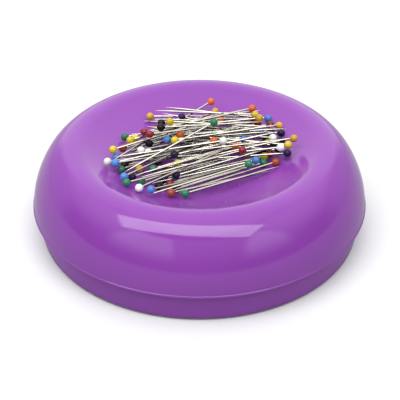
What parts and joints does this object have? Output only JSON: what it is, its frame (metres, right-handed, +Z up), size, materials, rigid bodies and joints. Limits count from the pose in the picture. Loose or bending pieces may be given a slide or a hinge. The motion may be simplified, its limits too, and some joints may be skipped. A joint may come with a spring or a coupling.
{
  "type": "magnetic pin bowl",
  "caption": "Round magnetic dish with a domed rolled rim on a ring base, a magnet under the dish, holding a heap of loose ball-head pins.",
  "frame": {"origin": "on the table under the middle of the bowl, in the plane of the feet", "axes": "+Z up, along the bowl's axis; -Y towards the viewer; +X to the right"},
  "size_m": [0.108, 0.1079, 0.036],
  "materials": {
    "purple_plastic": "smooth glossy moulded purple plastic",
    "ferrite": "ground grey-black ceramic magnet",
    "plate_steel": "plain cold-rolled steel",
    "foam": "closed-cell foam",
    "inner_plastic": "plain moulded plastic",
    "screw_steel": "zinc-plated steel",
    "foot_rubber": "soft matte rubber",
    "pin_steel": "bright nickel-plated steel wire",
    "head_orange": "glossy moulded ball, orange",
    "head_yellow": "glossy moulded ball, yellow",
    "head_amber": "glossy moulded ball, amber",
    "head_green": "glossy moulded ball, green",
    "head_blue": "glossy moulded ball, blue",
    "head_navy": "glossy moulded ball, navy",
    "head_black": "glossy moulded ball, black",
    "head_white": "glossy moulded ball, white",
    "head_red": "glossy moulded ball, red",
    "head_rust": "glossy moulded ball, rust"
  },
  "bodies": {
    "bowl": {"top_shell": "purple_plastic", "base_cover": "purple_plastic", "magnet_block": "ferrite", "pole_plate_left": "plate_steel", "pole_plate_right": "plate_steel", "foam_pad": "foam", "magnet_carrier": "inner_plastic", "carrier_screws": "screw_steel", "base_screws": "screw_steel", "feet": "foot_rubber"},
    "pin_heap": {"heap_shafts": "pin_steel", "heads_orange": "head_orange", "heads_yellow": "head_yellow", "heads_amber": "head_amber", "heads_green": "head_green", "heads_blue": "head_blue", "heads_navy": "head_navy", "heads_black": "head_black", "heads_white": "head_white", "heads_red": "head_red", "heads_rust": "head_rust"},
    "front_pin": {"front_pin_shaft": "pin_steel", "front_pin_head": "head_green"},
    "right_pin": {"right_pin_shaft": "pin_steel", "right_pin_head": "head_amber"},
    "middle_pin": {"middle_pin_shaft": "pin_steel", "middle_pin_head": "head_red"},
    "top_pin": {"top_pin_shaft": "pin_steel", "top_pin_head": "head_green"}
  },
  "joints": [
    {"name": "heap_lift", "type": "slide", "parent": "bowl", "child": "pin_heap", "axis": [0, 0, 1], "range_m": [0, 0.08]},
    {"name": "front_pin_lift", "type": "slide", "parent": "pin_heap", "child": "front_pin", "axis": [0, 0, 1], "range_m": [0, 0.08]},
    {"name": "right_pin_lift", "type": "slide", "parent": "pin_heap", "child": "right_pin", "axis": [0, 0, 1], "range_m": [0, 0.08]},
    {"name": "middle_pin_lift", "type": "slide", "parent": "pin_heap", "child": "middle_pin", "axis": [0, 0, 1], "range_m": [0, 0.08]},
    {"name": "top_pin_lift", "type": "slide", "parent": "pin_heap", "child": "top_pin", "axis": [0, 0, 1], "range_m": [0, 0.08]}
  ]
}
